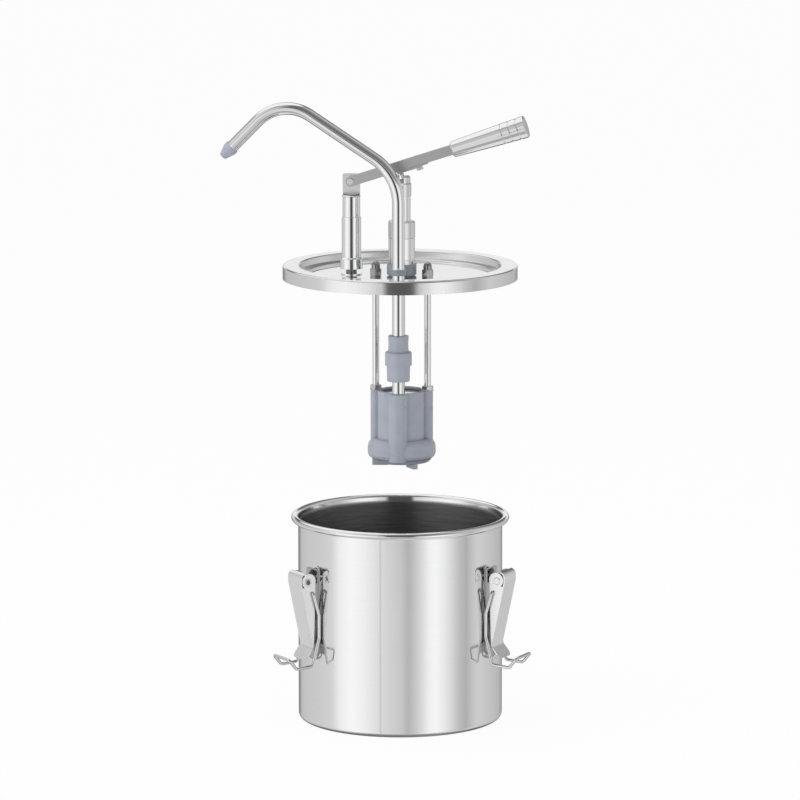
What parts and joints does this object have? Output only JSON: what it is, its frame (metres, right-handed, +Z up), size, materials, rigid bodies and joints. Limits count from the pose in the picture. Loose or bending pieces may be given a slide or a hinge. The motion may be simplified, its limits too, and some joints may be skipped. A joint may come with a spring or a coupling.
{
  "type": "sauce dispenser",
  "caption": "Round steel pot with wire-bail draw latches on its wall, and a lid that carries a lever pump with a long bent spout and a pump cylinder, shown lifted out of the pot.",
  "frame": {"origin": "centre of the pot's underside", "axes": "+Z up along the pot's axis, +X along the lever, -X along the spout, -Y to the front"},
  "size_m": [0.2778, 0.2269, 0.5474],
  "materials": {
    "polished_steel": "polished",
    "satin_steel": "satin",
    "grey_plastic": "matte",
    "dark_rubber": "matte",
    "pale_rubber": "matte"
  },
  "bodies": {
    "pot": {"pot_shell": "polished_steel", "clamp_brackets": "satin_steel", "clamp_rivets": "satin_steel"},
    "pump_unit": {"lid": "polished_steel", "lid_gasket": "pale_rubber", "post_washer": "polished_steel", "post_nut": "polished_steel", "post_stud": "polished_steel", "post_collar": "polished_steel", "post_sleeve": "polished_steel", "post_head": "satin_steel", "pivot_screw": "polished_steel", "foot_block": "grey_plastic", "guide_band": "polished_steel", "guide_sleeve": "polished_steel", "guide_collar": "satin_steel", "guide_nut": "polished_steel", "tie_rods": "polished_steel", "acorn_nuts": "polished_steel", "rod_nuts": "polished_steel", "rod_washers": "polished_steel", "spout_tube": "polished_steel", "tube_ferrule": "polished_steel", "spout_nozzle": "grey_plastic", "valve_cap": "grey_plastic", "valve_union_nut": "grey_plastic", "valve_body": "grey_plastic", "valve_seal": "dark_rubber", "valve_spring": "polished_steel", "lower_tube": "polished_steel", "pump_body": "grey_plastic", "cover_plate": "polished_steel", "cover_seal": "dark_rubber", "base_cap": "grey_plastic", "inlet_cage": "polished_steel", "return_spring": "polished_steel"},
    "lever": {"lever_bar": "satin_steel", "lever_grip": "polished_steel", "presser": "satin_steel", "presser_screw": "polished_steel"},
    "piston": {"rod_head": "satin_steel", "head_pin": "dark_rubber", "pump_rod": "polished_steel", "piston": "polished_steel", "piston_seals": "dark_rubber", "piston_nut": "polished_steel"},
    "outlet_ball": {"valve_ball": "polished_steel"},
    "inlet_ball": {"inlet_ball": "polished_steel"},
    "latch_1": {"clamp_lever_1": "satin_steel"},
    "bail_1": {"clamp_bail_1": "polished_steel"},
    "latch_2": {"clamp_lever_2": "satin_steel"},
    "bail_2": {"clamp_bail_2": "polished_steel"},
    "latch_3": {"clamp_lever_3": "satin_steel"},
    "bail_3": {"clamp_bail_3": "polished_steel"}
  },
  "joints": [
    {"name": "pump_lift", "type": "slide", "parent": "pot", "child": "pump_unit", "axis": [0, 0, 1], "range_m": [-0.219, 0]},
    {"name": "lever_swing", "type": "hinge", "parent": "pump_unit", "child": "lever", "pos_m": [-0.045, 0.01, 0.4762], "axis": [0, -1, 0], "range_deg": [-25, 0], "stiffness_Nm_per_rad": 1.8, "springref_deg": 25.21},
    {"name": "piston_slide", "type": "slide", "parent": "pump_unit", "child": "piston", "axis": [0, 0, 1], "range_m": [-0.02, 0], "deforming": ["return_spring"]},
    {"name": "outlet_ball_lift", "type": "slide", "parent": "pump_unit", "child": "outlet_ball", "axis": [0, 0, 1], "range_m": [0, 0.003], "deforming": ["valve_spring"]},
    {"name": "inlet_ball_lift", "type": "slide", "parent": "pump_unit", "child": "inlet_ball", "axis": [0, 0, 1], "range_m": [0, 0.003]},
    {"name": "latch_1_swing", "type": "hinge", "parent": "pot", "child": "latch_1", "pos_m": [-0.07775, -0.06524, 0.1334], "axis": [-0.6428, 0.766, 0], "range_deg": [0, 60]},
    {"name": "bail_1_swing", "type": "hinge", "parent": "latch_1", "child": "bail_1", "pos_m": [-0.07469, -0.06267, 0.1232], "axis": [0.6428, -0.766, 0], "range_deg": [-170.5, 0]},
    {"name": "latch_2_swing", "type": "hinge", "parent": "pot", "child": "latch_2", "pos_m": [0.09538, -0.03472, 0.1334], "axis": [-0.342, -0.9397, 0], "range_deg": [0, 60]},
    {"name": "bail_2_swing", "type": "hinge", "parent": "latch_2", "child": "bail_2", "pos_m": [0.09162, -0.03335, 0.1232], "axis": [0.342, 0.9397, 0], "range_deg": [-170.5, 0]},
    {"name": "latch_3_swing", "type": "hinge", "parent": "pot", "child": "latch_3", "pos_m": [-0.01763, 0.09996, 0.1334], "axis": [0.9848, 0.1736, 0], "range_deg": [0, 60]},
    {"name": "bail_3_swing", "type": "hinge", "parent": "latch_3", "child": "bail_3", "pos_m": [-0.01693, 0.09602, 0.1232], "axis": [-0.9848, -0.1736, 0], "range_deg": [-170.5, 0]}
  ],
  "couplings": [
    {"joint": "piston_slide", "follows": "lever_swing", "m_per_rad": 0.0458}
  ]
}
